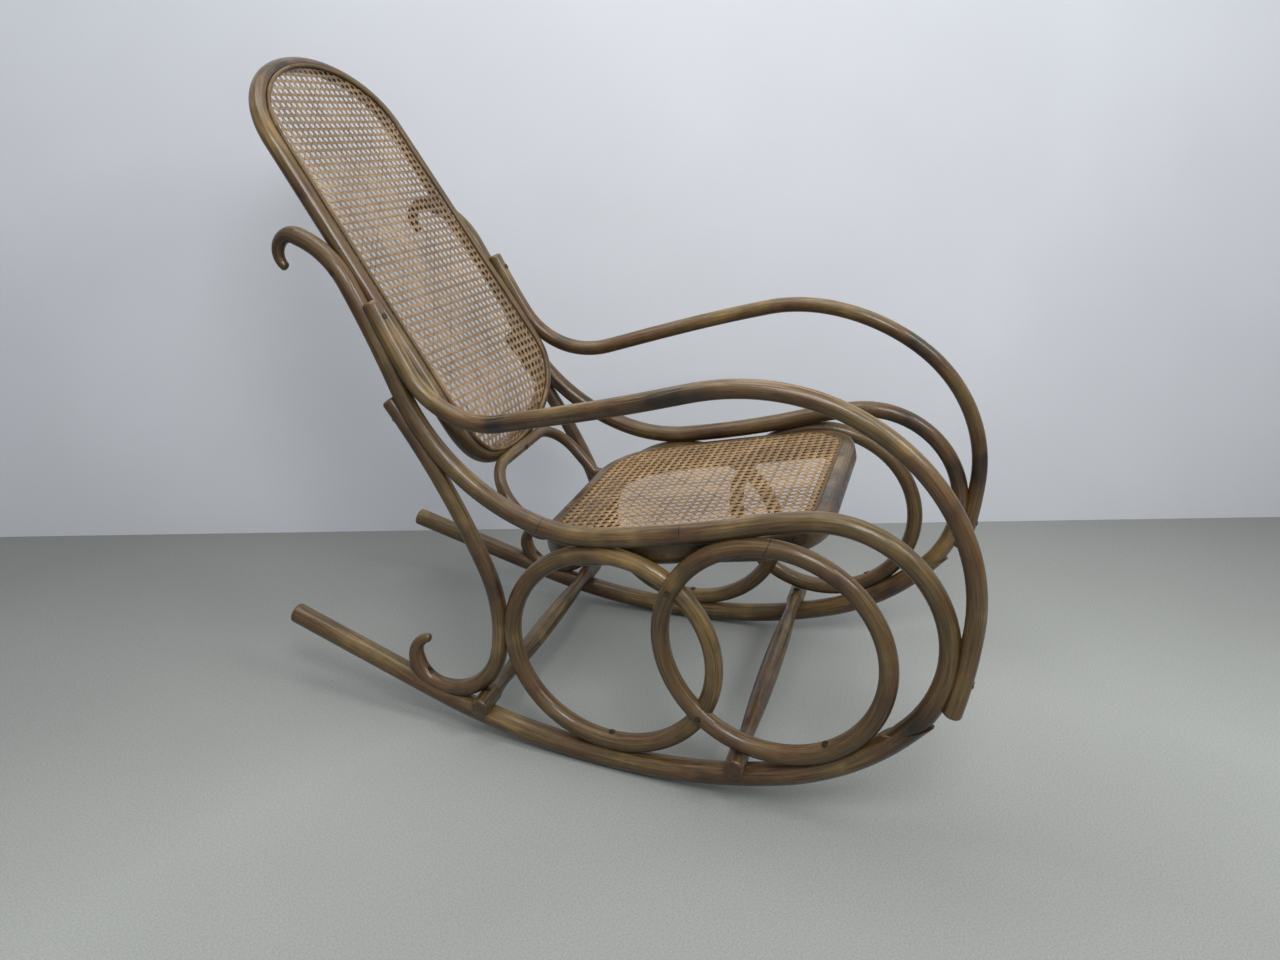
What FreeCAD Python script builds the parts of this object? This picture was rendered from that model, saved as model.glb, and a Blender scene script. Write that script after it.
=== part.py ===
import FreeCAD, Part
import math
import os
import Sketcher
from FreeCAD import Placement, Rotation, Vector

# Bentwood rocking chair with a caned seat and back.
# X runs across the chair, the sitter faces -Y, Z is up and the floor is Z = 0.
# Each side is one flat frame of bent rods that toes in towards the back.

os.makedirs("parts", exist_ok=True)
doc = FreeCAD.newDocument("bentwood_rocker")
sheet = doc.addObject("Spreadsheet::Sheet", "Sizes")

DIMENSIONS = [
    ("half_span", 211.0, "centre plane to a side frame, at Y = 0"),
    ("toe_angle", 2.8, "turn of each side frame about Z, in degrees"),
    ("joint_gap", 0.1, "clearance left where one rod is fitted against another"),
    ("end_round", 4.5, "rounding of a rod's cut end"),
    ("side_rod", 27.0, "diameter of the side bend"),
    ("hook_tip_rod", 13.0, "diameter at the tip of the hook on top of the post"),
    ("tip_forward", 465.0, "Y of the hook's tip"),
    ("tip_height", 669.0, "height of the hook's tip above the rocker's lowest line"),
    ("tip_heading", 28.0, "direction in which the hook leaves its tip, from +Y towards +Z"),
    ("rocker_rod", 30.0, "diameter of the rocker"),
    ("scarf_length", 60.0, "length of the slanting joint between side bend and rocker"),
    ("arm_rod", 25.0, "diameter of the armrest"),
    ("arm_bow", 33.0, "how far the armrest swings out beyond the side frame"),
    ("arm_bow_back", 215.0, "Y where the swing starts behind"),
    ("arm_bow_front", -395.0, "Y where the swing ends in front"),
    ("arm_start_share", 0.235, "share of the post's bend above the armrest's back end"),
    ("arm_start_turn", 1.2, "turn of the armrest's back end against the post, in degrees"),
    ("arm_seat", 7.0, "depth to which the armrest's back end is let onto the post"),
    ("strut_rod", 24.0, "diameter of the rear strut"),
    ("strut_tip_rod", 12.0, "diameter at the tip of the strut's curl"),
    ("strut_start_share", 0.04, "share of the hip's bend above the strut's top end"),
    ("strut_start_turn", -12.5, "turn of the strut's top end against the post, in degrees"),
    ("strut_seat", 0.5, "depth to which the strut's top end is let onto the post"),
    ("ring_rod", 25.0, "diameter of a ring's rod"),
    ("rear_ring_centre", -43.0, "Y of the rear ring's centre"),
    ("front_ring_centre", -270.0, "Y of the front ring's centre"),
    ("ring_half_length", 150.5, "from a ring's centre to its front and back, on the rod's centreline"),
    ("ring_seat", 2.0, "depth to which a ring is let into what it touches"),
    ("rear_ring_offset", 0.0, "shift of the rear ring out of the side frame's plane"),
    ("front_ring_offset", 8.0, "shift of the front ring outwards, where it laps over the rear ring"),
    ("hoop_rod", 26.0, "diameter of the back's hoop"),
    ("hoop_bottom", 30.0, "height of the hoop's lowest centre point above the rail's dip"),
    ("hoop_forward", 7.5, "from the post's axis forward to the hoop, where they are screwed together"),
    ("hoop_hold", 318.0, "height of the hoop's screws above its lowest centre point"),
    ("hoop_bend_start", 28.0, "height of the hoop's upright foot"),
    ("hoop_bend_radius", 180.0, "radius of the bend from upright to leaning"),
    ("hoop_lean", 35.0, "lean of the hoop's straight part, in degrees"),
    ("hoop_height", 602.0, "height of the whole hoop between centre points"),
    ("hoop_taper", 6.0, "loss of half width from the lower curve to the upper curve"),
    ("hoop_low_rise", 128.0, "height of the lower curve"),
    ("hoop_high_rise", 108.0, "height of the upper curve"),
    ("cane_thickness", 1.6, "thickness of the woven cane"),
    ("back_cane_inset", 10.6, "from the hoop's centreline in to the edge of the back's cane"),
    ("back_spline_rod", 5.8, "diameter of the cord that binds the back's cane"),
    ("back_spline_inset", 9.4, "from the hoop's centreline in to the binding cord"),
    ("seat_drop", 12.0, "fall from the rail's centre to the seat's top face, above the seat's mark"),
    ("seat_mark", -110.0, "Y at which the seat's drop is measured"),
    ("seat_let_in", 3.0, "depth to which the rails are let into the seat frame's sides"),
    ("seat_slope", 12.1, "fall of the seat towards the back, in degrees"),
    ("seat_depth", 38.0, "depth of the seat frame"),
    ("seat_front", 334.0, "from Y = 0 to the seat's front edge, along the slope"),
    ("seat_back", 94.0, "from Y = 0 to the seat's back edge, along the slope"),
    ("seat_wall", 34.0, "width of the seat frame's ring"),
    ("seat_front_radius", 92.0, "corner radius at the seat's front"),
    ("seat_back_radius", 100.0, "corner radius at the seat's back"),
    ("seat_edge_round", 7.0, "rounding of the seat frame's upper outer edge"),
    ("seat_under_round", 15.0, "rounding of the seat frame's lower outer edge"),
    ("seat_cane_inset", 23.2, "from the seat's outer edge in to the cane"),
    ("seat_spline_outer", 18.2, "from the seat's outer edge in to the binding's outer side"),
    ("seat_spline_inner", 22.8, "from the seat's outer edge in to the binding's inner side"),
    ("seat_spline_depth", 4.0, "depth of the groove that holds the seat's binding"),
    ("seat_spline_height", 1.8, "height of the seat's binding above the frame"),
    ("rear_stretcher_place", 152.0, "Y of the rear stretcher"),
    ("front_stretcher_place", -229.0, "Y of the front stretcher"),
    ("stretcher_end_rod", 28.0, "diameter of a stretcher at its ends"),
    ("stretcher_neck_rod", 20.0, "diameter of a stretcher at its necks"),
    ("stretcher_mid_rod", 30.0, "diameter of a stretcher in the middle"),
    ("stretcher_end_length", 46.0, "length of a stretcher's thick end"),
    ("stretcher_flare", 36.0, "length over which a stretcher narrows from its end to its neck"),
    ("stretcher_overhang", 16.0, "how far a stretcher reaches beyond the rocker"),
    ("stretcher_seat", 3.0, "depth to which a stretcher is let into the rocker"),
    ("arch_rod", 18.0, "diameter of the arch between back and seat"),
    ("arch_half_width", 122.0, "centre plane to a leg of the arch"),
    ("arch_corner", 62.0, "radius of the arch's corners"),
    ("arch_rise", 1.2, "from the hoop's lowest centre point up to the arch's crown"),
    ("arch_foot_depth", 14.0, "from the seat's top face down to the arch's feet"),
    ("arch_foot_radius", 22.0, "radius of the bend above each of the arch's feet"),
    ("arch_foot_length", 6.0, "straight end of the arch's feet behind the seat frame"),
    ("arch_let_in", 10.0, "depth to which the arch's feet are let into the seat frame"),
    ("arm_top_screw_share", 0.25, "share of the armrest's first bend before its upper screw"),
    ("arm_foot_screw_share", 0.6, "share of the armrest's last bend before its lower screw"),
    ("strut_top_screw_share", 0.1, "share of the strut's first bend before its upper screw"),
    ("strut_foot_screw_share", 0.35, "share of the strut's sole before its lower screw"),
    ("screw_head", 9.0, "diameter of a wood screw's head"),
    ("screw_shank", 4.5, "diameter of a wood screw's shank"),
    ("screw_head_height", 2.4, "height of a wood screw's head"),
    ("screw_sink", 0.9, "how far a head stands out of the wood"),
    ("screw_gap", 0.05, "clearance round a screw in its hole"),
]

for row, (alias, value, note) in enumerate(DIMENSIONS, start=1):
    sheet.set("A%d" % row, note)
    sheet.set("B%d" % row, str(value))
    sheet.setAlias("B%d" % row, alias)

# Bends of each rod from its first end to its last: name, length along the rod, turn in degrees.
SIDE_BENDS = [
    ("hook", 78.0, 168.5),
    ("shoulder", 109.0, 42.0),
    ("post", 164.0, 6.0),
    ("hip", 274.0, -48.5),
    ("rail_dip", 107.0, -25.5),
    ("rail", 215.0, -8.5),
    ("rail_crest", 87.0, 8.5),
    ("front_loop", 277.0, 108.5),
    ("front_foot", 100.0, 32.5),
]
ROCKER_BENDS = [
    ("rocker_toe", 195.0, 30.5),
    ("rocker_front", 174.0, 13.0),
    ("rocker_sole", 358.0, 21.0),
    ("rocker_tail", 266.0, 0.0),
]
ARM_BENDS = [
    ("arm_back", 111.7, -3.7),
    ("arm_dip", 174.3, -74.4),
    ("arm_rise", 287.9, 0.9),
    ("arm_crest", 276.0, 53.4),
    ("arm_fall", 238.3, 57.2),
    ("arm_foot", 123.9, 10.0),
]
STRUT_BENDS = [
    ("strut_top", 277.0, 14.0),
    ("strut_knee", 135.0, 36.5),
    ("strut_heel", 135.0, 83.0),
    ("strut_sole", 62.0, 74.5),
    ("strut_curl", 50.0, 93.5),
]

row = len(DIMENSIONS) + 1
for name, length, turn in SIDE_BENDS + ROCKER_BENDS + ARM_BENDS + STRUT_BENDS:
    for ending, value, note in (("length", length, "length along"), ("turn", turn, "turn of")):
        sheet.set("A%d" % row, "%s the bend %s" % (note, name))
        sheet.set("B%d" % row, str(value))
        sheet.setAlias("B%d" % row, "%s_%s" % (name, ending))
        row += 1
doc.recompute()


def size(alias):
    return float(getattr(sheet, alias))


def bend_sizes(bends):
    return [(size(name + "_length"), math.radians(size(name + "_turn"))) for name, _, _ in bends]


def heading_vector(angle):
    return Vector(0, math.cos(angle), math.sin(angle))


FAR = 2000.0


class FlatPath:
    """Tangent arcs in the plane of a side frame, from one end of a rod to the other."""

    def __init__(self, start, heading, bends):
        self.bends = bends
        self.edges = []
        self.stations = [(start, heading)]
        for length, turn in bends:
            self.add_bend(length, turn)

    def point_along(self, start, heading, length, turn):
        if abs(turn) < 1e-9:
            return start + heading_vector(heading) * length
        radius = length / turn
        across = math.sin(heading + turn) - math.sin(heading)
        upward = math.cos(heading) - math.cos(heading + turn)
        return start + Vector(0, across, upward) * radius

    def add_bend(self, length, turn):
        start, heading = self.stations[-1]
        end = self.point_along(start, heading, length, turn)
        if abs(turn) < 1e-9:
            self.edges.append(Part.LineSegment(start, end).toShape())
        else:
            middle = self.point_along(start, heading, length / 2, turn / 2)
            self.edges.append(Part.Arc(start, middle, end).toShape())
        self.stations.append((end, heading + turn))

    def wire(self):
        return Part.Wire(self.edges)

    def station(self, bend, share):
        """Point and heading at a share of one bend's length."""
        start, heading = self.stations[bend]
        length, turn = self.bends[bend]
        point = self.point_along(start, heading, length * share, turn * share)
        return point, heading + turn * share

    def height_at(self, along):
        """Height at a given Y of a path that crosses it once."""
        line = Part.makeLine(Vector(0, along, -FAR), Vector(0, along, FAR))
        return self.wire().distToShape(line)[1][0][0].z


def end_frame(wire, last):
    """Point and direction at the first or the last end of an open wire."""
    edge = wire.OrderedEdges[-1 if last else 0]
    at_end = edge.LastParameter if last else edge.FirstParameter
    return edge.valueAt(at_end), edge.tangentAt(at_end)


def rod(wire, first_diameter, last_diameter=None):
    """Round rod along a wire, tapered where a second diameter is given."""
    start, start_direction = end_frame(wire, False)
    circle = Part.Wire(Part.makeCircle(first_diameter / 2, start, start_direction))
    circles = [circle]
    if last_diameter:
        end, end_direction = end_frame(wire, True)
        circles.append(Part.Wire(Part.makeCircle(last_diameter / 2, end, end_direction)))
    return wire.makePipeShell(circles, True, True)


def rounded_ends(solid, points, radius):
    """Rounds the closed edges that surround the given end points."""
    edges = []
    for edge in solid.Edges:
        if edge.isClosed() and any((edge.CenterOfMass - point).Length < 0.5 for point in points):
            edges.append(edge)
    return solid.makeFillet(radius, edges)


def biarc(start, start_direction, end, end_direction):
    """Two tangent arcs in space that leave and arrive in the given directions."""
    gap = end - start
    both = start_direction + end_direction
    denominator = 2 * (1 - start_direction.dot(end_direction))
    if denominator < 1e-9:
        reach = gap.dot(gap) / (4 * gap.dot(end_direction))
    else:
        root = math.sqrt(gap.dot(both) ** 2 + denominator * gap.dot(gap))
        reach = (root - gap.dot(both)) / denominator
    middle = (start + end + (start_direction - end_direction) * reach) / 2
    first = arc_by_corner(start, start + start_direction * reach, middle)
    last = arc_by_corner(middle, end - end_direction * reach, end)
    return [first, last]


def arc_by_corner(start, corner, end):
    """Arc from start to end whose end tangents meet at the corner."""
    chord_middle = (start + end) / 2
    half_chord = (end - start).Length / 2
    lift = (corner - chord_middle).Length
    if lift < half_chord * 1e-5:
        return Part.LineSegment(start, end).toShape()
    half_turn = math.atan(lift / half_chord)
    share = math.tan(half_turn / 2) / math.tan(half_turn)
    return Part.Arc(start, chord_middle + (corner - chord_middle) * share, end).toShape()


def smooth_wire(points, directions):
    """Tangent-continuous wire of arcs through points with known directions."""
    edges = []
    for index in range(len(points) - 1):
        edges += biarc(points[index], directions[index], points[index + 1], directions[index + 1])
    return Part.Wire(edges)


def closed_rod(points, directions, diameter):
    """Endless round rod through points, of which the last is the first again."""
    half = len(points) // 2
    first = rod(smooth_wire(points[:half + 1], directions[:half + 1]), diameter)
    last = rod(smooth_wire(points[half:], directions[half:]), diameter)
    return first.fuse(last).removeSplitter()


pieces = []


def keep(label, shape, placement=None):
    """Adds one sub-part with a fixed shape to the document."""
    piece = doc.addObject("Part::Feature", label)
    piece.Label = label
    piece.Shape = shape
    piece.Placement = placement or Placement()
    pieces.append(piece)
    return piece


def side_placement(side):
    turn = Rotation(Vector(0, 0, 1), side * size("toe_angle"))
    return Placement(Vector(side * size("half_span"), 0, 0), turn)


def half_span_at(along):
    """Centre plane to the side frame's centre, at a given Y."""
    return size("half_span") - math.tan(math.radians(size("toe_angle"))) * along


SIDES = (("right", -1), ("left", 1))

# Paths of the rods that lie in a side frame, first with the rocker's sole at height 0.
raw_side = FlatPath(
    Vector(0, size("tip_forward"), size("tip_height")),
    math.radians(size("tip_heading")),
    bend_sizes(SIDE_BENDS),
)
raw_rocker = FlatPath(*raw_side.stations[-1], bend_sizes(ROCKER_BENDS))
lift = size("rocker_rod") / 2 - raw_rocker.wire().BoundBox.ZMin

side_path = FlatPath(
    Vector(0, size("tip_forward"), size("tip_height") + lift),
    math.radians(size("tip_heading")),
    bend_sizes(SIDE_BENDS),
)
rocker_path = FlatPath(*side_path.stations[-1], bend_sizes(ROCKER_BENDS))


def front_normal(heading):
    """Direction at right angles to a rod that runs down the post, towards the sitter."""
    return heading_vector(heading - math.pi / 2)


def laid_beside(bend, name, towards):
    """Start point and heading of the armrest or the strut, which lie against the side bend."""
    point, heading = side_path.station(bend, size(name + "_start_share"))
    reach = (size("side_rod") + size(name + "_rod")) / 2 - size(name + "_seat")
    turned = heading + math.radians(size(name + "_start_turn"))
    return point + front_normal(heading) * reach * towards, turned


# Places of some bends in their lists.
POST, HIP, STRUT_SOLE = 2, 3, 3

arm_path = FlatPath(*laid_beside(POST, "arm", 1), bend_sizes(ARM_BENDS))
strut_path = FlatPath(*laid_beside(HIP, "strut", -1), bend_sizes(STRUT_BENDS))


def tube_round(path, diameter):
    """A rod grown by the joint's clearance, used to fit what touches it."""
    return rod(path.wire(), diameter + 2 * size("joint_gap"))


side_tool = tube_round(side_path, size("side_rod"))
rocker_tool = tube_round(rocker_path, size("rocker_rod"))


def scarf_halves():
    """Two blocks that part the side bend from the rocker along a slanting plane."""
    point, heading = rocker_path.stations[0]
    slant = math.atan(size("rocker_rod") / size("scarf_length"))
    turn = Rotation(Vector(1, 0, 0), math.degrees(heading + slant))
    reach = size("scarf_length") * 1.5
    block = Part.makeBox(2 * reach, 2 * reach, reach, Vector(-reach, -reach, 0))
    upper = block.copy()
    lower = block.mirror(Vector(), Vector(0, 0, 1))
    upper.translate(Vector(0, 0, size("joint_gap") / 2))
    lower.translate(Vector(0, 0, -size("joint_gap") / 2))
    for half in (upper, lower):
        half.Placement = Placement(point, turn).multiply(half.Placement)
    return upper, lower


def straight_on(path, last, length):
    """Straight edge that carries a path on past one of its ends."""
    point, direction = end_frame(path.wire(), last)
    if last:
        return Part.LineSegment(point, point + direction * length).toShape()
    return Part.LineSegment(point - direction * length, point).toShape()


def make_side_bend(holes):
    hook = rod(Part.Wire(side_path.edges[:1]), size("hook_tip_rod"), size("side_rod"))
    hook = rounded_ends(hook, [side_path.stations[0][0]], size("end_round"))
    edges = side_path.edges[1:] + [straight_on(side_path, True, size("scarf_length"))]
    _, lower = scarf_halves()
    return hook.fuse(rod(Part.Wire(edges), size("side_rod")).cut(lower)).cut(holes)


def make_rocker(holes):
    edges = [straight_on(rocker_path, False, size("scarf_length"))] + rocker_path.edges
    body = rod(Part.Wire(edges), size("rocker_rod"))
    upper, _ = scarf_halves()
    body = body.cut(upper)
    body = rounded_ends(body, [rocker_path.stations[-1][0]], size("end_round"))
    return body.cut(holes)


def arm_bow(along):
    """Sideways swing of the armrest at a given Y."""
    back, front = size("arm_bow_back"), size("arm_bow_front")
    share = min(max((back - along) / (back - front), 0.0), 1.0)
    return size("arm_bow") * math.sin(math.pi * share) ** 2


def arm_wire(side):
    """The armrest's centreline, swung out beyond the side frame."""
    points, directions = [], []
    spans = 3
    step = 0.5
    for bend in range(len(ARM_BENDS)):
        for part in range(spans):
            points.append(arm_path.station(bend, part / spans))
    points.append(arm_path.stations[-1])
    places = []
    for point, heading in points:
        rate = (arm_bow(point.y + step) - arm_bow(point.y - step)) / (2 * step)
        direction = heading_vector(heading)
        places.append(Vector(side * arm_bow(point.y), point.y, point.z))
        directions.append(Vector(side * rate * direction.y, direction.y, direction.z).normalize())
    return smooth_wire(places, directions)


def make_armrest(side, holes):
    wire = arm_wire(side)
    ends = [end_frame(wire, False)[0], end_frame(wire, True)[0]]
    body = rounded_ends(rod(wire, size("arm_rod")), ends, size("end_round"))
    return body.cut([side_tool] + holes)


def make_strut(holes):
    straight = rod(Part.Wire(strut_path.edges[:-1]), size("strut_rod"))
    curl = rod(Part.Wire(strut_path.edges[-1:]), size("strut_rod"), size("strut_tip_rod"))
    ends = [strut_path.stations[0][0], strut_path.stations[-1][0]]
    body = rounded_ends(straight.fuse(curl), ends, size("end_round"))
    return body.cut([side_tool, rocker_tool, stretcher_tool(rear_stretcher)] + holes)


class Ring:
    """A closed ring between the rail and the rocker, let a little into both.

    It is slightly longer than high: its height comes from the room between them.
    """

    def __init__(self, along, offset):
        self.offset = offset
        self.along = along
        low, high = rocker_path.height_at(along), rail_height(along)
        self.height = (low + high) / 2
        self.half_height = (high - low) / 2
        for _ in range(25):
            above = self.gap(side_path, "side_rod")
            below = self.gap(rocker_path, "rocker_rod")
            self.height += (above - below) / 2
            self.half_height += (above + below) / 2

    def gap(self, path, neighbour):
        """Room left between the ring and the seat that it has in a neighbouring rod."""
        apart = (size("ring_rod") + size(neighbour)) / 2 - size("ring_seat")
        return self.touch(path)[0] - math.sqrt(apart ** 2 - self.offset ** 2)

    def touch(self, path):
        """Distance to a path, and the nearest points on the ring and on the path."""
        distance, points, _ = self.line().distToShape(path.wire())
        return distance, points[0][0], points[0][1]

    def centre(self):
        return Vector(0, self.along, self.height)

    def curve(self):
        upright = self.half_height > size("ring_half_length")
        long_end = Vector(0, size("ring_half_length"), 0)
        high_end = Vector(0, 0, self.half_height)
        major, minor = (high_end, long_end) if upright else (long_end, high_end)
        return Part.Ellipse(self.centre() + major, self.centre() + minor, self.centre())

    def line(self):
        return self.curve().toShape()

    def solid(self, side, grow=0.0):
        spans = 12
        points, directions = [], []
        for index in range(spans + 1):
            angle = 2 * math.pi * index / spans
            across, rise = size("ring_half_length"), self.half_height
            spoke = Vector(0, across * math.cos(angle), rise * math.sin(angle))
            run = Vector(0, -across * math.sin(angle), rise * math.cos(angle))
            points.append(self.centre() + spoke + Vector(side * self.offset, 0, 0))
            directions.append(run.normalize())
        return closed_rod(points, directions, size("ring_rod") + 2 * grow)


def rail_height(along):
    """Height of the seat rail's centre at a given Y."""
    line = Part.makeLine(Vector(0, along, -FAR), Vector(0, along, FAR))
    rail = Part.Wire(side_path.edges[HIP:HIP + 4])
    return rail.distToShape(line)[1][0][0].z


class Stretcher:
    """A turned bar that lies across both rockers."""

    def __init__(self, along):
        reach = (size("rocker_rod") + size("stretcher_end_rod")) / 2 - size("stretcher_seat")
        self.place = Vector(0, along, rocker_path.height_at(along) + reach)
        self.half_length = half_span_at(along) + size("rocker_rod") / 2 + size("stretcher_overhang")


rear_ring = Ring(size("rear_ring_centre"), size("rear_ring_offset"))
front_ring = Ring(size("front_ring_centre"), size("front_ring_offset"))
rear_stretcher = Stretcher(size("rear_stretcher_place"))
front_stretcher = Stretcher(size("front_stretcher_place"))


def stretcher_tool(stretcher):
    """The end of a stretcher as a plain bar, in a side frame's own place."""
    radius = size("stretcher_end_rod") / 2 + size("joint_gap")
    length = size("half_span") / 2
    start = stretcher.place - Vector(length / 2, 0, 0)
    return Part.makeCylinder(radius, length, start, Vector(1, 0, 0))


def make_rear_ring(side, holes):
    front = front_ring.solid(side, size("joint_gap"))
    return rear_ring.solid(side).cut([side_tool, rocker_tool, front] + holes)


def make_front_ring(side, holes):
    stretcher = stretcher_tool(front_stretcher)
    return front_ring.solid(side).cut([side_tool, rocker_tool, stretcher] + holes)


# Screws: each goes in at a point of a rod's surface and runs into what the rod lies against.


class Screw:
    def __init__(self, node, surface, direction, length):
        self.node = node
        self.surface = surface
        self.direction = direction.normalize()
        self.length = length

    def solid(self):
        top = self.surface - self.direction * size("screw_sink")
        head = Part.makeCylinder(
            size("screw_head") / 2, size("screw_head_height"), top, self.direction
        )
        head = head.makeFillet(size("screw_sink"), [head.Edges[0]])
        return head.fuse(self.shank(0.0))

    def shank(self, grow):
        start = self.surface - self.direction * (size("screw_sink") - size("screw_head_height") / 2)
        length = self.length - size("screw_head_height") / 2 + grow
        return Part.makeCylinder(size("screw_shank") / 2 + grow, length, start, self.direction)

    def hole(self):
        """Room for the screw, open beyond the surface."""
        gap = size("screw_gap")
        top = self.surface - self.direction * size("screw_head")
        depth = size("screw_head") - size("screw_sink") + size("screw_head_height") + gap
        head = Part.makeCylinder(size("screw_head") / 2 + gap, depth, top, self.direction)
        return head.fuse(self.shank(gap))


def crossings():
    """Points where the two rings of a side pass each other."""
    found = rear_ring.curve().intersectCC(front_ring.curve())
    return [Vector(point.X, point.Y, point.Z) for point in found]


def side_screws(side):
    """Wood screws of one side frame, in the frame's own place."""
    bite = size("side_rod") / 2
    arm_half, strut_half, ring_half = size("arm_rod") / 2, size("strut_rod") / 2, size("ring_rod") / 2
    found = []
    point, heading = arm_path.station(0, size("arm_top_screw_share"))
    out = front_normal(heading)
    found.append(Screw("arm_top_screws", point + out * arm_half, -out, 2 * arm_half + bite))
    point, heading = arm_path.station(len(ARM_BENDS) - 1, size("arm_foot_screw_share"))
    out = -front_normal(heading)
    found.append(Screw("arm_foot_screws", point - out * arm_half, out, 2 * arm_half + bite))
    point, heading = strut_path.station(0, size("strut_top_screw_share"))
    out = -front_normal(heading)
    found.append(Screw("strut_top_screws", point + out * strut_half, -out, 2 * strut_half + bite))
    point, heading = strut_path.station(STRUT_SOLE, size("strut_foot_screw_share"))
    down = Vector(0, 0, -1)
    found.append(Screw("strut_foot_screws", point - down * strut_half, down, 2 * strut_half + bite))
    for ring in (rear_ring, front_ring):
        shift = Vector(side * ring.offset, 0, 0)
        for path, node in ((side_path, "ring_top_screws"), (rocker_path, "ring_foot_screws")):
            _, on_ring, on_path = ring.touch(path)
            towards = (on_path - on_ring - shift).normalize()
            inside = on_ring + shift - towards * ring_half
            found.append(Screw(node, inside, towards, 2 * ring_half + bite))
    outer_face = size("front_ring_offset") + ring_half
    for point in crossings():
        surface = point + Vector(side * outer_face, 0, 0)
        found.append(Screw("ring_crossing_screws", surface, Vector(-side, 0, 0), 2 * ring_half))
    return found


screw_groups = {}


def hold_screws(screws, placement):
    for screw in screws:
        solid = screw.solid()
        solid.Placement = placement.multiply(solid.Placement)
        screw_groups.setdefault(screw.node, []).append(solid)


# Back: a hoop that is egg-shaped from the front, upright at its foot and leaning above.


class Back:
    """Shape of the back, from heights above the hoop's lowest centre point."""

    def __init__(self):
        self.lean = math.radians(size("hoop_lean"))
        self.bottom = rail_dip + size("hoop_bottom")
        self.bend_end = size("hoop_bend_start") + size("hoop_bend_radius") * math.sin(self.lean)
        self.foot = 0.0
        hold, _ = self.profile(size("hoop_hold"))
        level = Part.makeLine(Vector(0, -FAR, hold.z), Vector(0, FAR, hold.z))
        post = Part.Wire(side_path.edges[POST - 1:HIP])
        at_post = post.distToShape(level)[1][0][0]
        self.foot = at_post.y - size("hoop_forward") - hold.y
        self.hold, _ = self.profile(size("hoop_hold"))
        self.hold_on_post = post.distToShape(Part.Vertex(self.hold))[1][0][0]
        apart = (size("side_rod") + size("hoop_rod")) / 2 + size("joint_gap")
        aside = math.sqrt(apart ** 2 - (self.hold_on_post - self.hold).Length ** 2)
        self.hold_width = half_span_at(self.hold_on_post.y) - aside
        self.low_end = size("hoop_low_rise")
        self.high_start = size("hoop_height") - size("hoop_high_rise")

    def profile(self, height):
        """Point in the centre plane and lean of the back at a height."""
        start, radius = size("hoop_bend_start"), size("hoop_bend_radius")
        if height <= start:
            along, lean = 0.0, 0.0
        elif height <= self.bend_end:
            lean = math.asin((height - start) / radius)
            along = radius * (1 - math.cos(lean))
        else:
            lean = self.lean
            along = radius * (1 - math.cos(lean)) + (height - self.bend_end) * math.tan(lean)
        return Vector(0, self.foot + along, self.bottom + height), lean

    def half_width(self, height):
        """Half width of the hoop's straight part, or of its line carried on."""
        fall = size("hoop_taper") / (self.high_start - self.low_end)
        return self.hold_width - fall * (height - size("hoop_hold"))

    def point(self, turn, inset=0.0, forward=0.0):
        """Point of a line inside the hoop: turn runs 0 to 3 from the bottom to the top."""
        if turn <= 1:
            angle = turn * math.pi / 2
            across = (self.half_width(self.low_end) - inset) * math.sin(angle)
            height = self.low_end - (self.low_end - inset) * math.cos(angle)
        elif turn <= 2:
            height = self.low_end + (self.high_start - self.low_end) * (turn - 1)
            across = self.half_width(height) - inset
        else:
            angle = (turn - 2) * math.pi / 2
            across = (self.half_width(self.high_start) - inset) * math.cos(angle)
            rise = size("hoop_high_rise") - inset * math.cos(self.lean)
            height = self.high_start + rise * math.sin(angle)
        middle, lean = self.profile(height)
        lift = Vector(0, -math.cos(lean), math.sin(lean)) * forward
        return middle + lift + Vector(across, 0, 0)

    def loop(self, inset=0.0, forward=0.0):
        """Closed line of points round the back, from the bottom up the left side."""
        spans = 6
        step = 1e-3
        points, directions = [], []
        for index in range(3 * spans + 1):
            turn = index / spans
            low, high = max(turn - step, 0.0), min(turn + step, 3.0)
            points.append(self.point(turn, inset, forward))
            run = self.point(high, inset, forward) - self.point(low, inset, forward)
            directions.append(run.normalize())
        directions[0] = Vector(1, 0, 0)
        directions[-1] = Vector(-1, 0, 0)
        for index in range(3 * spans - 1, -1, -1):
            points.append(mirrored(points[index]))
            directions.append(-mirrored(directions[index]))
        return points, directions


def mirrored(vector):
    return Vector(-vector.x, vector.y, vector.z)


rail_dip = Part.Wire(side_path.edges[HIP:HIP + 3]).BoundBox.ZMin
back = Back()


def make_hoop(holes):
    return closed_rod(*back.loop(), size("hoop_rod")).cut(holes)


def above_hoop(inset, own_radius):
    """How far forward of the hoop's centreline something of its own radius touches the hoop."""
    apart = size("hoop_rod") / 2 + own_radius + size("joint_gap")
    return math.sqrt(apart ** 2 - inset ** 2)


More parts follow.
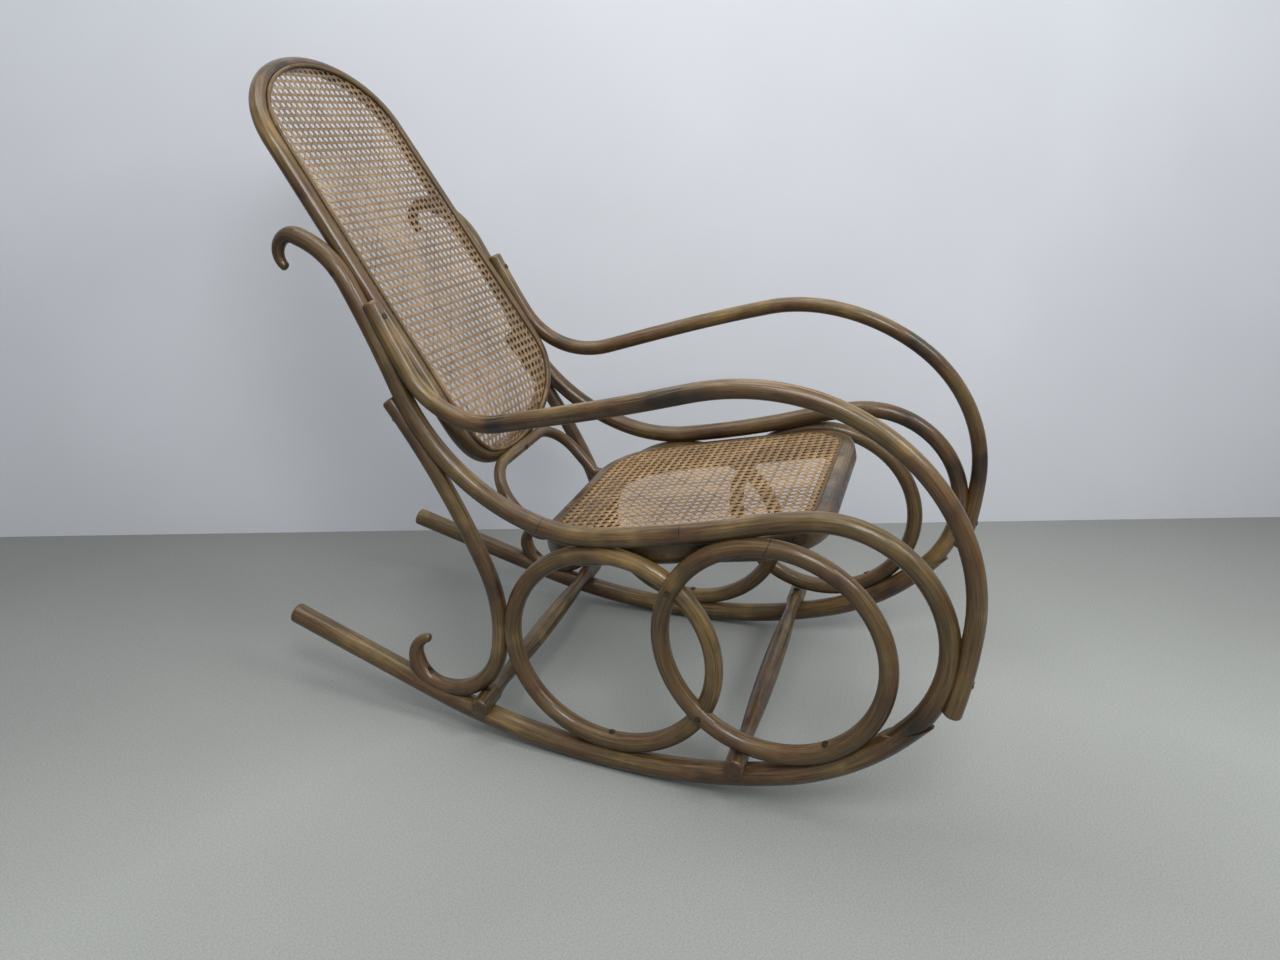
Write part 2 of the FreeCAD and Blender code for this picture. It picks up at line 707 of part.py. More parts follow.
def make_back_cane():
    inset = size("back_cane_inset")
    rear = above_hoop(inset, 0.0)
    front = rear + size("cane_thickness")
    points, directions = back.loop(inset, (front + rear) / 2)
    for vector in points + directions:
        vector.y = 0.0
    outline = smooth_wire(points, [direction.normalize() for direction in directions])
    heights = (-inset, size("hoop_bend_start"), back.bend_end, size("hoop_height") + inset)
    faces = []
    for forward in (rear, front):
        corners = []
        for height in heights:
            middle, lean = back.profile(height)
            corners.append(middle + Vector(0, -math.cos(lean), math.sin(lean)) * forward)
        corner = arc_corner(corners[0], corners[1], corners[3], corners[2])
        faces.append([
            Part.LineSegment(corners[0], corners[1]).toShape(),
            arc_by_corner(corners[1], corner, corners[2]),
            Part.LineSegment(corners[2], corners[3]).toShape(),
        ])
    ends = [
        Part.LineSegment(faces[0][0].Vertexes[0].Point, faces[1][0].Vertexes[0].Point).toShape(),
        Part.LineSegment(faces[0][2].Vertexes[1].Point, faces[1][2].Vertexes[1].Point).toShape(),
    ]
    section = Part.Face(Part.Wire(Part.__sortEdges__(faces[0] + faces[1] + ends)))
    width = 2 * back.hold_width
    section.translate(Vector(-width / 2, 0, 0))
    sheet_of_cane = section.extrude(Vector(width, 0, 0))
    outline.translate(Vector(0, -FAR, 0))
    return sheet_of_cane.common(Part.Face(outline).extrude(Vector(0, 2 * FAR, 0)))


def arc_corner(first, first_end, last, last_end):
    """Point where the upright and the leaning line of a section meet."""
    up = (first_end - first).normalize()
    slant = (last - last_end).normalize()
    across = (last_end - first_end).y
    rise = (last_end - first_end).z - across * slant.z / slant.y
    return first_end + up * rise


def make_back_binding():
    inset, cord = size("back_spline_inset"), size("back_spline_rod")
    return closed_rod(*back.loop(inset, above_hoop(inset, cord / 2)), cord)


# Seat: its own plane has Z = 0 on the top face and Y = 0 above the chair's Y = 0.


def origin_plane(body, role):
    return next(plane for plane in body.Origin.OriginFeatures if plane.Role == role)


def new_sketch(body, role, name):
    sketch = body.newObject("Sketcher::SketchObject", name)
    sketch.AttachmentSupport = [(origin_plane(body, role), "")]
    sketch.MapMode = "FlatFace"
    return sketch


def bind(sketch, constraint, expression):
    """Adds a named dimension to a sketch and ties it to the sheet."""
    index = sketch.addConstraint(constraint)
    sketch.setExpression("Constraints[%d]" % index, expression)


SEAT_EDGE_X = "(Sizes.half_span {} tan(Sizes.toe_angle) * cos(Sizes.seat_slope) * Sizes.{}" \
    " - Sizes.side_rod / 2 + Sizes.seat_let_in)"


def make_seat_block():
    body = doc.addObject("PartDesign::Body", "seat_block")
    outline = new_sketch(body, "XY_Plane", "seat_outline")
    half, front, rear = size("half_span"), size("seat_front"), size("seat_back")
    corners = [(-half, -front), (half, -front), (half, rear), (-half, rear)]
    for index, corner in enumerate(corners):
        after = corners[(index + 1) % 4]
        outline.addGeometry(Part.LineSegment(Vector(*corner, 0), Vector(*after, 0)))
    for index in range(4):
        outline.addConstraint(Sketcher.Constraint("Coincident", index, 2, (index + 1) % 4, 1))
    for index in (0, 2):
        outline.addConstraint(Sketcher.Constraint("Symmetric", index, 1, index, 2, -2))
    bind(outline, Sketcher.Constraint("DistanceY", 0, 1, -1, 1, front), "Sizes.seat_front")
    bind(outline, Sketcher.Constraint("DistanceY", -1, 1, 2, 1, rear), "Sizes.seat_back")
    bind(outline, Sketcher.Constraint("DistanceX", 0, 1, 0, 2, 2 * half),
         "2 * " + SEAT_EDGE_X.format("+", "seat_front"))
    bind(outline, Sketcher.Constraint("DistanceX", 2, 2, 2, 1, 2 * half),
         "2 * " + SEAT_EDGE_X.format("-", "seat_back"))
    pad = body.newObject("PartDesign::Pad", "seat_pad")
    pad.Profile = outline
    pad.Reversed = True
    pad.setExpression("Length", "Sizes.seat_depth")
    doc.recompute()
    base = pad
    for name, sign in (("seat_front_radius", -1), ("seat_back_radius", 1)):
        corner = body.newObject("PartDesign::Fillet", name + "_fillet")
        corner.Base = (base, upright_edges(base.Shape, sign))
        corner.setExpression("Radius", "Sizes." + name)
        doc.recompute()
        base = corner
    sharp = base.Shape
    for name, level in (("seat_edge_round", 0.0), ("seat_under_round", -size("seat_depth"))):
        rounding = body.newObject("PartDesign::Fillet", name + "_fillet")
        rounding.Base = (base, level_edges(base.Shape, level))
        rounding.setExpression("Radius", "Sizes." + name)
        doc.recompute()
        base = rounding
    return sharp, base.Shape


def upright_edges(shape, sign):
    """Names of the sharp corner edges on one side of Y = 0."""
    names = []
    for number, edge in enumerate(shape.Edges, start=1):
        bounds = edge.BoundBox
        is_upright = bounds.XLength + bounds.YLength < 1e-6
        is_sharp = edge.CenterOfMass.y * sign > min(size("seat_front"), size("seat_back")) - 1
        if is_upright and is_sharp:
            names.append("Edge%d" % number)
    return names


def level_edges(shape, level):
    """Names of the edges that run round the flat face at one height."""
    return [
        "Edge%d" % number
        for number, edge in enumerate(shape.Edges, start=1)
        if edge.BoundBox.ZLength < 1e-6 and abs(edge.CenterOfMass.z - level) < 1e-6
    ]


sharp_block, seat_block = make_seat_block()
seat_top = next(face for face in sharp_block.Faces if abs(face.CenterOfMass.z) < 1e-6)


def seat_outline(inset):
    """Face inside the seat's outer edge, on its top plane."""
    return Part.Face(seat_top.OuterWire).makeOffset2D(-inset)


def seat_placement():
    slope = math.radians(size("seat_slope"))
    mark = size("seat_mark")
    height = rail_height(mark) - size("seat_drop") + mark * math.tan(slope)
    return Placement(Vector(0, 0, height), Rotation(Vector(1, 0, 0), -size("seat_slope")))


def make_seat_frame(tools):
    depth = size("seat_depth")
    opening = seat_outline(size("seat_wall"))
    opening.translate(Vector(0, 0, -depth - 1))
    groove = seat_outline(size("seat_spline_outer")).cut(seat_outline(size("seat_spline_inner")))
    frame = seat_block.cut([
        opening.extrude(Vector(0, 0, depth + 2)),
        groove.extrude(Vector(0, 0, -size("seat_spline_depth"))),
    ])
    to_seat = seat_placement().inverse()
    moved = []
    for tool in tools:
        tool = tool.copy()
        tool.Placement = to_seat.multiply(tool.Placement)
        moved.append(tool)
    return frame.cut(moved)


def make_seat_cane():
    return seat_outline(size("seat_cane_inset")).extrude(Vector(0, 0, size("cane_thickness")))


def make_seat_binding():
    gap = size("joint_gap")
    outer = seat_outline(size("seat_spline_outer") + gap)
    strip = outer.cut(seat_outline(size("seat_spline_inner") - gap))
    height = size("seat_spline_depth") + size("seat_spline_height")
    strip.translate(Vector(0, 0, size("seat_spline_height") - height))
    cord = strip.extrude(Vector(0, 0, height))
    top = [edge for edge in cord.Edges if edge.BoundBox.ZMin > size("seat_spline_height") - 1e-3]
    return cord.makeFillet(size("seat_spline_height") / 2, top)


# Arch: an upside-down U in front of the foot of the hoop, whose feet bend forward to the seat.


class Arch:
    def __init__(self):
        self.half_width = size("arch_half_width")
        lowest, _ = back.profile(0.0)
        apart = (size("hoop_rod") + size("arch_rod")) / 2 + size("joint_gap")
        rise = size("arch_rise")
        self.crown = lowest + Vector(0, -math.sqrt(apart ** 2 - rise ** 2), rise)
        self.radius = size("arch_foot_radius")
        behind = self.seat_edge() + size("arch_foot_length")
        self.foot = self.in_seat(self.seat_edge() - size("arch_let_in"), 0)
        self.foot_bend = self.in_seat(behind, 0)
        self.bend_centre = self.in_seat(behind, self.radius)
        away = self.bend_centre - self.crown
        lean = math.atan2(-away.y, -away.z) - math.asin(self.radius / away.Length)
        self.direction = Vector(0, -math.sin(lean), -math.cos(lean))
        self.length = math.sqrt(away.Length ** 2 - self.radius ** 2)

    def in_seat(self, along, above):
        """Point in the centre plane at a height above the line of the arch's feet."""
        return seat_placement().multVec(Vector(0, along, above - size("arch_foot_depth")))

    def seat_edge(self):
        """Y of the seat frame's back edge at the arch's legs, in the seat's plane."""
        line = Part.makeLine(Vector(self.half_width, 0, 0), Vector(self.half_width, FAR, 0))
        return line.common(seat_top).BoundBox.YMax

    def at(self, across, down):
        return self.crown + Vector(across, 0, 0) + self.direction * down

    def leg(self, side):
        """Edges from one foot up to the straight top of the arch."""
        width, radius = self.half_width, size("arch_corner")
        inner = width - radius
        off = radius * (1 - math.sqrt(0.5))
        aside = Vector(side * width, 0, 0)
        bend_end = self.at(0, self.length)
        outward = ((bend_end + self.foot_bend) / 2 - self.bend_centre).normalize()
        bend_middle = self.bend_centre + outward * self.radius
        corner = [self.at(side * width, radius), self.at(side * (width - off), off), self.at(side * inner, 0)]
        return [
            Part.LineSegment(self.foot + aside, self.foot_bend + aside).toShape(),
            Part.Arc(self.foot_bend + aside, bend_middle + aside, bend_end + aside).toShape(),
            Part.LineSegment(bend_end + aside, corner[0]).toShape(),
            Part.Arc(*corner).toShape(),
        ]

    def wire(self):
        inner = self.half_width - size("arch_corner")
        top = Part.LineSegment(self.at(-inner, 0), self.at(inner, 0)).toShape()
        return Part.Wire(self.leg(-1) + [top] + self.leg(1)[::-1])


arch = Arch()


def make_arch(holes):
    return rod(arch.wire(), size("arch_rod")).cut(holes)


def make_stretcher(stretcher):
    """Turned bar with thick ends, a neck inside each end and a swelling in the middle."""
    end, neck, middle = (
        size("stretcher_%s_rod" % part) / 2 for part in ("end", "neck", "mid")
    )
    half = stretcher.half_length
    shoulder = half - size("stretcher_end_length")
    waist = shoulder - size("stretcher_flare")
    bend = (waist + shoulder) / 2, neck + (end - neck) / 4
    outline = [
        Part.LineSegment(Vector(-half, 0, 0), Vector(half, 0, 0)),
        Part.LineSegment(Vector(half, 0, 0), Vector(half, end, 0)),
        Part.LineSegment(Vector(half, end, 0), Vector(shoulder, end, 0)),
        Part.Arc(Vector(shoulder, end, 0), Vector(*bend, 0), Vector(waist, neck, 0)),
        Part.Arc(Vector(waist, neck, 0), Vector(0, middle, 0), Vector(-waist, neck, 0)),
        Part.Arc(Vector(-waist, neck, 0), Vector(-bend[0], bend[1], 0), Vector(-shoulder, end, 0)),
        Part.LineSegment(Vector(-shoulder, end, 0), Vector(-half, end, 0)),
        Part.LineSegment(Vector(-half, end, 0), Vector(-half, 0, 0)),
    ]
    profile = Part.Face(Part.Wire([curve.toShape() for curve in outline]))
    bar = profile.revolve(Vector(), Vector(1, 0, 0), 360)
    bar = rounded_ends(bar, [Vector(-half, 0, 0), Vector(half, 0, 0)], size("end_round"))
    bar.translate(stretcher.place)
    return bar


def placed(shape, placement):
    copy = shape.copy()
    copy.Placement = placement.multiply(copy.Placement)
    return copy


placements = {side_name: side_placement(side) for side_name, side in SIDES}
rocker_tools = [placed(rocker_tool, placements[side_name]) for side_name, _ in SIDES]
rail_tools = [placed(side_tool, placements[side_name]) for side_name, _ in SIDES]

hoop_screws = []
for side_name, side in SIDES:
    axis_point = placements[side_name].multVec(back.hold_on_post)
    hoop_point = Vector(side * back.hold_width, back.hold.y, back.hold.z)
    inward = (hoop_point - axis_point).normalize()
    surface = axis_point - inward * (size("side_rod") / 2)
    hoop_screws.append(Screw("hoop_screws", surface, inward, size("side_rod") + size("hoop_rod") / 2))
hoop_holes = [screw.hole() for screw in hoop_screws]

lowest, _ = back.profile(0.0)
backward = (lowest - arch.crown).normalize()
arch_face = arch.crown - backward * (size("arch_rod") / 2)
arch_screw = Screw("arch_screw", arch_face, backward, size("arch_rod") + size("hoop_rod") / 2)
arch_hole = arch_screw.hole()

stretcher_screws = []
for stretcher in (rear_stretcher, front_stretcher):
    for side_name, side in SIDES:
        centre = placements[side_name].multVec(stretcher.place)
        surface = centre + Vector(0, 0, size("stretcher_end_rod") / 2)
        length = size("stretcher_end_rod") + size("rocker_rod") / 2
        stretcher_screws.append(Screw("stretcher_screws", surface, Vector(0, 0, -1), length))
stretcher_holes = [screw.hole() for screw in stretcher_screws]

for side_name, side in SIDES:
    screws = side_screws(side)
    holes = [screw.hole() for screw in screws]
    placement = placements[side_name]
    inverse = placement.inverse()
    cross_holes = [placed(hole, inverse) for hole in hoop_holes]
    floor_holes = [placed(hole, inverse) for hole in stretcher_holes]
    keep("side_bend_" + side_name, make_side_bend(holes + cross_holes), placement)
    keep("rocker_" + side_name, make_rocker(holes + floor_holes), placement)
    keep("armrest_" + side_name, make_armrest(side, holes), placement)
    keep("rear_strut_" + side_name, make_strut(holes), placement)
    keep("rear_ring_" + side_name, make_rear_ring(side, holes), placement)
    keep("front_ring_" + side_name, make_front_ring(side, holes), placement)
    hold_screws(screws, placement)

hold_screws(hoop_screws + [arch_screw] + stretcher_screws, Placement())
keep("back_hoop", make_hoop(hoop_holes + [arch_hole]))
keep("back_cane", make_back_cane())
keep("back_binding", make_back_binding())
seat_tools = rail_tools + [rod(arch.wire(), size("arch_rod") + 2 * size("joint_gap"))]
for side_name, side in SIDES:
    seat_tools.append(placed(rear_ring.solid(side, size("joint_gap")), placements[side_name]))
keep("seat_frame", make_seat_frame(seat_tools), seat_placement())
keep("seat_cane", make_seat_cane(), seat_placement())
keep("seat_binding", make_seat_binding(), seat_placement())
keep("back_arch", make_arch([arch_hole]))
for name, stretcher in (("rear_stretcher", rear_stretcher), ("front_stretcher", front_stretcher)):
    keep(name, make_stretcher(stretcher).cut(rocker_tools + stretcher_holes))

for node, solids in screw_groups.items():
    keep(node, Part.makeCompound(solids))

# The origin lies on the floor under the middle of the chair's length.
whole = Part.makeCompound([piece.Shape for piece in pieces]).optimalBoundingBox()
for piece in pieces:
    piece.Placement = Placement(Vector(0, -whole.Center.y, 0), Rotation()).multiply(piece.Placement)

doc.recompute()
for piece in doc.Objects:
    if "Invalid" in piece.State or "Error" in piece.State:
        raise RuntimeError("failed: " + piece.Label)
for piece in pieces:
    if piece.Shape.isNull() or not piece.Shape.isValid():
        raise RuntimeError("bad shape: " + piece.Label)
for piece in pieces:
    piece.Shape.exportStep("parts/%s.step" % piece.Label)
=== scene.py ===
import math
from collections import namedtuple

import bpy
from mathutils import Euler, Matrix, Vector


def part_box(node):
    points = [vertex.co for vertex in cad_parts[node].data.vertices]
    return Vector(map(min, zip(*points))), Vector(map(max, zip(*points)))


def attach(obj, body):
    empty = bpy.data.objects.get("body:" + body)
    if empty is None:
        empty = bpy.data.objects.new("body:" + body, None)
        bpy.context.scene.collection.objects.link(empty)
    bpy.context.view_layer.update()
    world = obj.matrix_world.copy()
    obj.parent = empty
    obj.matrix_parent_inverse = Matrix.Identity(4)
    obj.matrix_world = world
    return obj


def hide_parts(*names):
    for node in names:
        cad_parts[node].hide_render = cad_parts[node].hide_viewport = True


# Bentwood rocking chair with woven cane in the seat and the back.
# X runs across the chair, the sitter faces -Y and Z is up, in metres.
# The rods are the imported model's own. The cane and the finishes are made here.

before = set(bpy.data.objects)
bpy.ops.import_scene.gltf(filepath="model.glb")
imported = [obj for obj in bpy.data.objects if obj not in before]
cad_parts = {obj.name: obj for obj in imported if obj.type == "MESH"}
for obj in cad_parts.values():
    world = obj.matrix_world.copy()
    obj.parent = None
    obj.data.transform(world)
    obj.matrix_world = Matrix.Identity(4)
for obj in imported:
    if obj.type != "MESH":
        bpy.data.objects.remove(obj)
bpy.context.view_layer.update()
MM = 0.001

# The photograph's view, but with less vertical shift than the photograph has, so that views from
# other sides keep the whole chair in the frame. Place, tilt and lens were fitted again for that.
CAMERA_PLACE = Vector((-1.4098, -0.5133, 0.9636))
CAMERA_PITCH = math.radians(78.38)
CAMERA_TURN = math.radians(-71.539)
CAMERA_LENS = 28.64
CAMERA_RISE = -0.15625

# The seat's plane and outline, as the model has them.
SEAT_SLOPE = math.radians(12.1)
SEAT_FRONT = 334 * MM
SEAT_BACK = 94 * MM
SEAT_HALF_WIDTH = 200.5 * MM
SEAT_TOE = math.radians(2.8)
SEAT_FRONT_RADIUS = 92 * MM
SEAT_BACK_RADIUS = 100 * MM
SEAT_CANE_INSET = 23.2 * MM
SEAT_CANE_THICKNESS = 1.6 * MM

# The hoop's centreline, with heights from its lowest point.
HOOP_LEAN = math.radians(35)
HOOP_BEND_START = 28 * MM
HOOP_BEND_RADIUS = 180 * MM
HOOP_HEIGHT = 602 * MM
HOOP_LOW_RISE = 128 * MM
HOOP_HIGH_RISE = 108 * MM
HOOP_HOLD = 318 * MM
HOOP_HOLD_WIDTH = 166.7 * MM
HOOP_TAPER = 6 * MM
HOOP_ROD = 26 * MM
BACK_CANE_INSET = 10.6 * MM
BACK_CANE_FORWARD = 8.5 * MM

# Uprights and rows come in pairs. UPRIGHT_PAIR and ROW_PAIR are each strand's distance from the middle.
CANE_PITCH = 12.7 * MM
UPRIGHT_PAIR = 1.3 * MM
UPRIGHT_WIDTH = 2.4 * MM
ROW_PAIR = 1.12 * MM
ROW_WIDTH = 2.1 * MM
DIAGONAL_WIDTH = 1.75 * MM
DIAGONAL_SPACING = CANE_PITCH / math.sqrt(2)
STRAND_THICKNESS = 0.75 * MM
WEAVE_LIFT = 0.33 * MM
DIAGONAL_LIFT = 0.75 * MM
STEPS_IN_PITCH = 6
BACK_WEAVE_TURN = math.radians(-2.8)
OUTLINE_STEPS = 24

# A strand's section, across in widths and up in thicknesses.
STRAND_SECTION = ((-0.5, 0.0), (-0.28, 0.5), (0.28, 0.5), (0.5, 0.0), (0.0, -0.5))


# Shaders


def linear(red, green, blue):
    """A colour seen on screen, in 0 to 255, as the shader takes it: the sRGB curve undone."""
    def channel(value):
        share = value / 255
        return share / 12.92 if share <= 0.04045 else ((share + 0.055) / 1.055) ** 2.4
    return (channel(red), channel(green), channel(blue), 1.0)


def add(tree, kind, inputs=(), **settings):
    """A shader node with its settings made, and its inputs linked or given a value."""
    made = tree.nodes.new("ShaderNode" + kind)
    for name, value in settings.items():
        setattr(made, name, value)
    for name, value in dict(inputs).items():
        if isinstance(value, bpy.types.NodeSocket):
            tree.links.new(value, made.inputs[name])
        else:
            made.inputs[name].default_value = value
    return made


def new_material(name, **constants):
    """A material with its tree and its main shader, whose named sockets get plain values."""
    material = bpy.data.materials.new(name)
    material.use_nodes = True
    tree = material.node_tree
    shader = tree.nodes["Principled BSDF"]
    for socket, value in constants.items():
        shader.inputs[socket.replace("_", " ")].default_value = value
    return material, tree, shader


Noise = namedtuple("Noise", "scale detail roughness")
Relief = namedtuple("Relief", "depth strength")


def noise(tree, vector, kind):
    """A noise from 0 to 1, mostly near the middle, with its scale in steps per unit of the vector."""
    inputs = {"Vector": vector, "Scale": kind.scale, "Detail": kind.detail, "Roughness": kind.roughness}
    return add(tree, "TexNoise", inputs).outputs["Fac"]


def ramp(tree, factor, stops):
    """Runs a factor through colours or greys, each given with its place."""
    made = add(tree, "ValToRGB", {"Fac": factor})
    elements = made.color_ramp.elements
    while len(elements) < len(stops):
        elements.new(0.5)
    for element, (place, colour) in zip(elements, stops):
        element.position = place
        element.color = colour if isinstance(colour, tuple) else (colour, colour, colour, 1.0)
    return made.outputs["Color"]


def math_node(tree, operation, first, second=0.0):
    return add(tree, "Math", {0: first, 1: second}, operation=operation).outputs[0]


def vector_node(tree, operation, first, second):
    """Sum, difference or product of two vectors, part by part."""
    return add(tree, "VectorMath", {0: first, 1: second}, operation=operation).outputs["Vector"]


def dot_node(tree, first, second):
    return add(tree, "VectorMath", {0: first, 1: second}, operation="DOT_PRODUCT").outputs["Value"]


def mix(tree, share, first, second, blend="MIX"):
    made = add(tree, "Mix", {0: share, 6: first, 7: second}, data_type="RGBA", blend_type=blend)
    return made.outputs[2]


def shaded(tree, colour, factor, stops, share=1.0):
    """A colour made darker and lighter by what a factor gives on a ramp."""
    return mix(tree, share, colour, ramp(tree, factor, stops), "MULTIPLY")


def bump(tree, height, relief, under=None):
    inputs = {"Height": height, "Distance": relief.depth, "Strength": relief.strength}
    if under is not None:
        inputs["Normal"] = under
    return add(tree, "Bump", inputs).outputs["Normal"]


# Wood. A list of stops gives places on a factor's range and the colour or share there.

WOOD_DARK = linear(42, 32, 18)
WOOD_RED = linear(94, 66, 37)
WOOD_OLIVE = linear(98, 78, 43)
WOOD_GOLD = linear(138, 110, 65)
WOOD_WORN = linear(156, 138, 104)
WOOD_BLACKENED = linear(24, 18, 11)

PATCHES = Noise(8.0, 3.0, 0.55)
PATCH_COLOURS = ((0.3, WOOD_DARK), (0.44, WOOD_RED), (0.56, WOOD_OLIVE), (0.7, WOOD_GOLD))
LONG_PATCHES = Noise(0.42, 4.0, 0.6)
LONG_PATCH_SHADES = ((0.34, 0.62), (0.66, 1.38))
LONG_PATCH_SHARE = 0.85
STREAKS = Noise(1.5, 5.0, 0.7)
STREAK_SHADES = ((0.34, 0.46), (0.66, 1.46))
STREAK_SHARE = 0.9
STREAK_ROUGHNESS = ((0.3, 0.48), (0.7, 0.28))
STREAK_RELIEF = Relief(0.4 * MM, 0.5)
RUBBING = Noise(0.9, 5.0, 0.7)
RUBBING_STOPS = ((0.48, 0.0), (0.66, 1.0))
UPWARD_STOPS = ((0.3, 0.0), (0.9, 1.0))
GRIME = Noise(0.7, 5.0, 0.68)
GRIME_STOPS = ((0.54, 0.0), (0.7, 0.75))
# Painted shade on faces that turn down and painted light on faces that turn up.
PAINTED_LIGHT_AND_SHADE_BY_FACING = ((0.06, 0.24), (0.5, 0.82), (0.95, 1.26))
PORES = Noise(5.0, 2.0, 0.5)
PORE_SHADES = ((0.3, 0.4), (0.42, 1.0))
PORE_SHARE = 0.6
WAVES = Noise(38.0, 2.0, 0.55)
WAVE_RELIEF = Relief(1.8 * MM, 0.55)
MARK_SHADES = ((0.25, 0.16), (1.0, 1.0))

GRAIN_ALONG = 16.0
GRAIN_ROUND = 9.0
SEAM_WIDTH = 1.0 * MM
PLUG_SHARPNESS = 3.0


def grain_space(tree, plane):
    """Coordinates that change fast round a rod and slowly along it, for a rod bent in a plane.

    plane is the direction square to that plane. Round the rod its angle to the surface changes,
    and along the rod it stays the same.
    """
    source = add(tree, "TexCoord")
    place, normal = source.outputs["Object"], source.outputs["Normal"]
    angle = math_node(tree, "ARCCOSINE", dot_node(tree, normal, plane))
    along = add(tree, "VectorMath", {0: place, "Scale": GRAIN_ALONG}, operation="SCALE")
    round_rod = vector_node(tree, "MULTIPLY", angle, tuple(GRAIN_ROUND * part for part in plane))
    return place, normal, vector_node(tree, "ADD", along.outputs["Vector"], round_rod)


def straight_grain_space(tree, stretch):
    """Coordinates for straight turned wood, stretched along its length."""
    source = add(tree, "TexCoord")
    place, normal = source.outputs["Object"], source.outputs["Normal"]
    return place, normal, vector_node(tree, "MULTIPLY", place, stretch)


def bent_in(plane):
    return lambda tree: grain_space(tree, plane)


def turned_with(stretch):
    return lambda tree: straight_grain_space(tree, stretch)


# A seam has a point on it, the direction square to its plane and how far it reaches.
Seam = namedtuple("Seam", "point direction reach")
Plug = namedtuple("Plug", "middle radius")


def mark_shade(tree, place, seams, plugs):
    """1 on bare wood, and near 0 in a joint's thin dark line or in a plugged hole."""
    shade = 1.0
    for seam in seams:
        offset = vector_node(tree, "SUBTRACT", place, seam.point)
        distance = math_node(tree, "ABSOLUTE", dot_node(tree, offset, seam.direction.normalized()))
        far = add(tree, "VectorMath", {0: offset}, operation="LENGTH").outputs["Value"]
        beyond = math_node(tree, "GREATER_THAN", far, seam.reach)
        line = math_node(tree, "DIVIDE", distance, SEAM_WIDTH)
        clear = math_node(tree, "MINIMUM", math_node(tree, "ADD", line, beyond), 1.0)
        shade = math_node(tree, "MULTIPLY", shade, clear)
    for plug in plugs:
        away = add(tree, "VectorMath", {0: place, 1: plug.middle}, operation="DISTANCE").outputs["Value"]
        clear = math_node(tree, "MINIMUM", math_node(tree, "DIVIDE", away, plug.radius), 1.0)
        shade = math_node(tree, "MULTIPLY", shade, math_node(tree, "POWER", clear, PLUG_SHARPNESS))
    return shade


def wood(name, space, worn=0.35, tone=1.0, seams=(), plugs=()):
    """Old oiled bentwood: brown and gold patches, streaks along the grain, pores, rubbed places, and
    painted shade on the undersides with painted light on the tops.
    """
    material, tree, shader = new_material(
        name, Specular_IOR_Level=0.4, Coat_Weight=0.4, Coat_Roughness=0.14)
    place, normal, grain = space(tree)
    colour = ramp(tree, noise(tree, place, PATCHES), PATCH_COLOURS)
    long_patches = noise(tree, grain, LONG_PATCHES)
    colour = shaded(tree, colour, long_patches, LONG_PATCH_SHADES, LONG_PATCH_SHARE)
    streaks = noise(tree, grain, STREAKS)
    colour = shaded(tree, colour, streaks, STREAK_SHADES, STREAK_SHARE)

    lift = add(tree, "SeparateXYZ", {0: normal}).outputs["Z"]
    upward = ramp(tree, lift, UPWARD_STOPS)
    rubbed = ramp(tree, noise(tree, grain, RUBBING), RUBBING_STOPS)
    wear = math_node(tree, "MULTIPLY", math_node(tree, "MULTIPLY", rubbed, upward), worn)
    colour = mix(tree, wear, colour, WOOD_WORN)

    grime = ramp(tree, noise(tree, grain, GRIME), GRIME_STOPS)
    colour = mix(tree, grime, colour, WOOD_BLACKENED)
    # Painted light and shade: the colour is darkened on the undersides and lightened on the tops.
    painted_light_facing = math_node(tree, "MULTIPLY", math_node(tree, "ADD", lift, 1.0), 0.5)
    colour = shaded(tree, colour, painted_light_facing, PAINTED_LIGHT_AND_SHADE_BY_FACING)
    colour = shaded(tree, colour, noise(tree, grain, PORES), PORE_SHADES, PORE_SHARE)
    colour = mix(tree, 1.0, colour, (tone, tone, tone, 1.0), "MULTIPLY")
    if seams or plugs:
        colour = shaded(tree, colour, mark_shade(tree, place, seams, plugs), MARK_SHADES)
    tree.links.new(colour, shader.inputs["Base Color"])

    tree.links.new(ramp(tree, streaks, STREAK_ROUGHNESS), shader.inputs["Roughness"])
    waves = bump(tree, noise(tree, place, WAVES), WAVE_RELIEF)
    tree.links.new(bump(tree, streaks, STREAK_RELIEF, waves), shader.inputs["Normal"])
    return material


# Rattan and screws

CANE_PATCHES = Noise(9.0, 4.0, 0.6)
CANE_PATCH_SHADES = ((0.35, 0.68), (0.65, 1.16))
CANE_FLECKS = Noise(420.0, 3.0, 0.6)
CANE_FLECK_SHADES = ((0.34, 0.6), (0.55, 1.08))
CANE_FLECK_SHARE = 0.8
CANE_SKIN = Noise(180.0, 3.0, 0.55)
CANE_ROUGHNESS = ((0.3, 0.36), (0.7, 0.6))
CANE_FIBRES = Noise(900.0, 2.0, 0.55)
CANE_RELIEF = Relief(0.15 * MM, 0.4)

RUST = Noise(520.0, 4.0, 0.65)
RUST_COLOURS = ((0.35, linear(52, 40, 30)), (0.6, linear(104, 92, 78)))
RUST_ROUGHNESS = ((0.3, 0.65), (0.7, 0.38))
RUST_RELIEF = Relief(0.1 * MM, 0.6)


def cane(name, light, dark, gloss=0.15):
    """Split rattan: golden skin, one strand darker than the next, with aged patches and flecks."""
    material, tree, shader = new_material(
        name, Specular_IOR_Level=0.4, Coat_Weight=gloss, Coat_Roughness=0.35)
    place = add(tree, "TexCoord").outputs["Object"]
    strand = add(tree, "NewGeometry").outputs["Random Per Island"]
    colour = mix(tree, strand, dark, light)
    colour = shaded(tree, colour, noise(tree, place, CANE_PATCHES), CANE_PATCH_SHADES)
    colour = shaded(tree, colour, noise(tree, place, CANE_FLECKS), CANE_FLECK_SHADES, CANE_FLECK_SHARE)
    tree.links.new(colour, shader.inputs["Base Color"])
    rough = ramp(tree, noise(tree, place, CANE_SKIN), CANE_ROUGHNESS)
    tree.links.new(rough, shader.inputs["Roughness"])
    fibres = bump(tree, noise(tree, place, CANE_FIBRES), CANE_RELIEF)
    tree.links.new(fibres, shader.inputs["Normal"])
    return material


